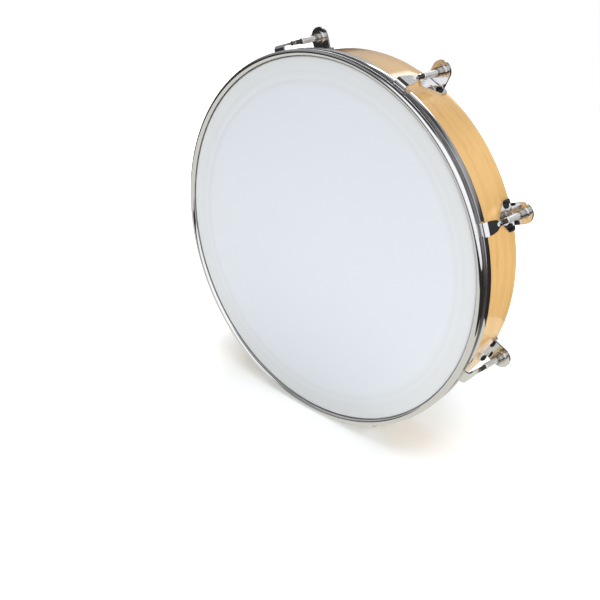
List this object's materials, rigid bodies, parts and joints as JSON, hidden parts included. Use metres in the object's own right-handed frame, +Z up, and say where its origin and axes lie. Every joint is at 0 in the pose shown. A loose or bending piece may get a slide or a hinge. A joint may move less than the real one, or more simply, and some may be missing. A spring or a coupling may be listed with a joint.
{
  "type": "tunable frame drum",
  "caption": "Hand-held tunable frame drum: white film head, chrome counter hoop with claw hooks, and a lacquered wooden shell open at the back.",
  "frame": {"origin": "on the floor under the middle of the drum, which stands upright on its rim", "axes": "+Z up; +Y from the playing head towards the open back, along the drum's axis; +X to the right when facing the head"},
  "size_m": [0.264, 0.051, 0.264],
  "materials": {
    "wood": "clear gloss lacquer on bent plywood",
    "film": "coated white drum film, satin",
    "aluminium": "plain rolled channel",
    "chrome": "bright chrome plate",
    "nickel": "bright nickel plate",
    "black_steel": "blackened steel, semi-gloss"
  },
  "bodies": {
    "drum": {"shell": "wood", "drum_head": "film", "flesh_hoop": "aluminium", "counter_hoop": "chrome", "lug_bracket_1": "chrome", "lug_bracket_2": "chrome", "lug_bracket_3": "chrome", "lug_bracket_4": "chrome", "lug_bracket_5": "chrome", "lug_bracket_6": "chrome", "lug_bracket_7": "chrome", "lug_bracket_8": "chrome", "lug_washers": "nickel", "bracket_bolts": "black_steel", "bracket_nuts": "black_steel"},
    "nut_1": {"tension_nut_1": "nickel", "nut_collar_1": "nickel"},
    "claw_1": {"claw_hook_1": "chrome"},
    "nut_2": {"tension_nut_2": "nickel", "nut_collar_2": "nickel"},
    "claw_2": {"claw_hook_2": "chrome"},
    "nut_3": {"tension_nut_3": "nickel", "nut_collar_3": "nickel"},
    "claw_3": {"claw_hook_3": "chrome"},
    "nut_4": {"tension_nut_4": "nickel", "nut_collar_4": "nickel"},
    "claw_4": {"claw_hook_4": "chrome"},
    "nut_5": {"tension_nut_5": "nickel", "nut_collar_5": "nickel"},
    "claw_5": {"claw_hook_5": "chrome"},
    "nut_6": {"tension_nut_6": "nickel", "nut_collar_6": "nickel"},
    "claw_6": {"claw_hook_6": "chrome"},
    "nut_7": {"tension_nut_7": "nickel", "nut_collar_7": "nickel"},
    "claw_7": {"claw_hook_7": "chrome"},
    "nut_8": {"tension_nut_8": "nickel", "nut_collar_8": "nickel"},
    "claw_8": {"claw_hook_8": "chrome"}
  },
  "joints": [
    {"name": "nut_1_turn", "type": "hinge", "parent": "drum", "child": "nut_1", "pos_m": [0.12491, 0.0205, 0.18374], "axis": [0, 1, 0], "range_deg": [0, 720]},
    {"name": "claw_1_slide", "type": "slide", "parent": "drum", "child": "claw_1", "axis": [0, -1, 0], "range_m": [0, 0.001]},
    {"name": "nut_2_turn", "type": "hinge", "parent": "drum", "child": "nut_2", "pos_m": [0.05174, 0.0205, 0.25691], "axis": [0, 1, 0], "range_deg": [0, 720]},
    {"name": "claw_2_slide", "type": "slide", "parent": "drum", "child": "claw_2", "axis": [0, -1, 0], "range_m": [0, 0.001]},
    {"name": "nut_3_turn", "type": "hinge", "parent": "drum", "child": "nut_3", "pos_m": [-0.05174, 0.0205, 0.25691], "axis": [0, 1, 0], "range_deg": [0, 720]},
    {"name": "claw_3_slide", "type": "slide", "parent": "drum", "child": "claw_3", "axis": [0, -1, 0], "range_m": [0, 0.001]},
    {"name": "nut_4_turn", "type": "hinge", "parent": "drum", "child": "nut_4", "pos_m": [-0.12491, 0.0205, 0.18374], "axis": [0, 1, 0], "range_deg": [0, 720]},
    {"name": "claw_4_slide", "type": "slide", "parent": "drum", "child": "claw_4", "axis": [0, -1, 0], "range_m": [0, 0.001]},
    {"name": "nut_5_turn", "type": "hinge", "parent": "drum", "child": "nut_5", "pos_m": [-0.12491, 0.0205, 0.08026], "axis": [0, 1, 0], "range_deg": [0, 720]},
    {"name": "claw_5_slide", "type": "slide", "parent": "drum", "child": "claw_5", "axis": [0, -1, 0], "range_m": [0, 0.001]},
    {"name": "nut_6_turn", "type": "hinge", "parent": "drum", "child": "nut_6", "pos_m": [-0.05174, 0.0205, 0.00709], "axis": [0, 1, 0], "range_deg": [0, 720]},
    {"name": "claw_6_slide", "type": "slide", "parent": "drum", "child": "claw_6", "axis": [0, -1, 0], "range_m": [0, 0.001]},
    {"name": "nut_7_turn", "type": "hinge", "parent": "drum", "child": "nut_7", "pos_m": [0.05174, 0.0205, 0.00709], "axis": [0, 1, 0], "range_deg": [0, 720]},
    {"name": "claw_7_slide", "type": "slide", "parent": "drum", "child": "claw_7", "axis": [0, -1, 0], "range_m": [0, 0.001]},
    {"name": "nut_8_turn", "type": "hinge", "parent": "drum", "child": "nut_8", "pos_m": [0.12491, 0.0205, 0.08026], "axis": [0, 1, 0], "range_deg": [0, 720]},
    {"name": "claw_8_slide", "type": "slide", "parent": "drum", "child": "claw_8", "axis": [0, -1, 0], "range_m": [0, 0.001]}
  ],
  "couplings": [
    {"joint": "nut_1_turn", "follows": "claw_1_slide", "rad_per_m": 12566},
    {"joint": "nut_2_turn", "follows": "claw_2_slide", "rad_per_m": 12566},
    {"joint": "nut_3_turn", "follows": "claw_3_slide", "rad_per_m": 12566},
    {"joint": "nut_4_turn", "follows": "claw_4_slide", "rad_per_m": 12566},
    {"joint": "nut_5_turn", "follows": "claw_5_slide", "rad_per_m": 12566},
    {"joint": "nut_6_turn", "follows": "claw_6_slide", "rad_per_m": 12566},
    {"joint": "nut_7_turn", "follows": "claw_7_slide", "rad_per_m": 12566},
    {"joint": "nut_8_turn", "follows": "claw_8_slide", "rad_per_m": 12566}
  ]
}
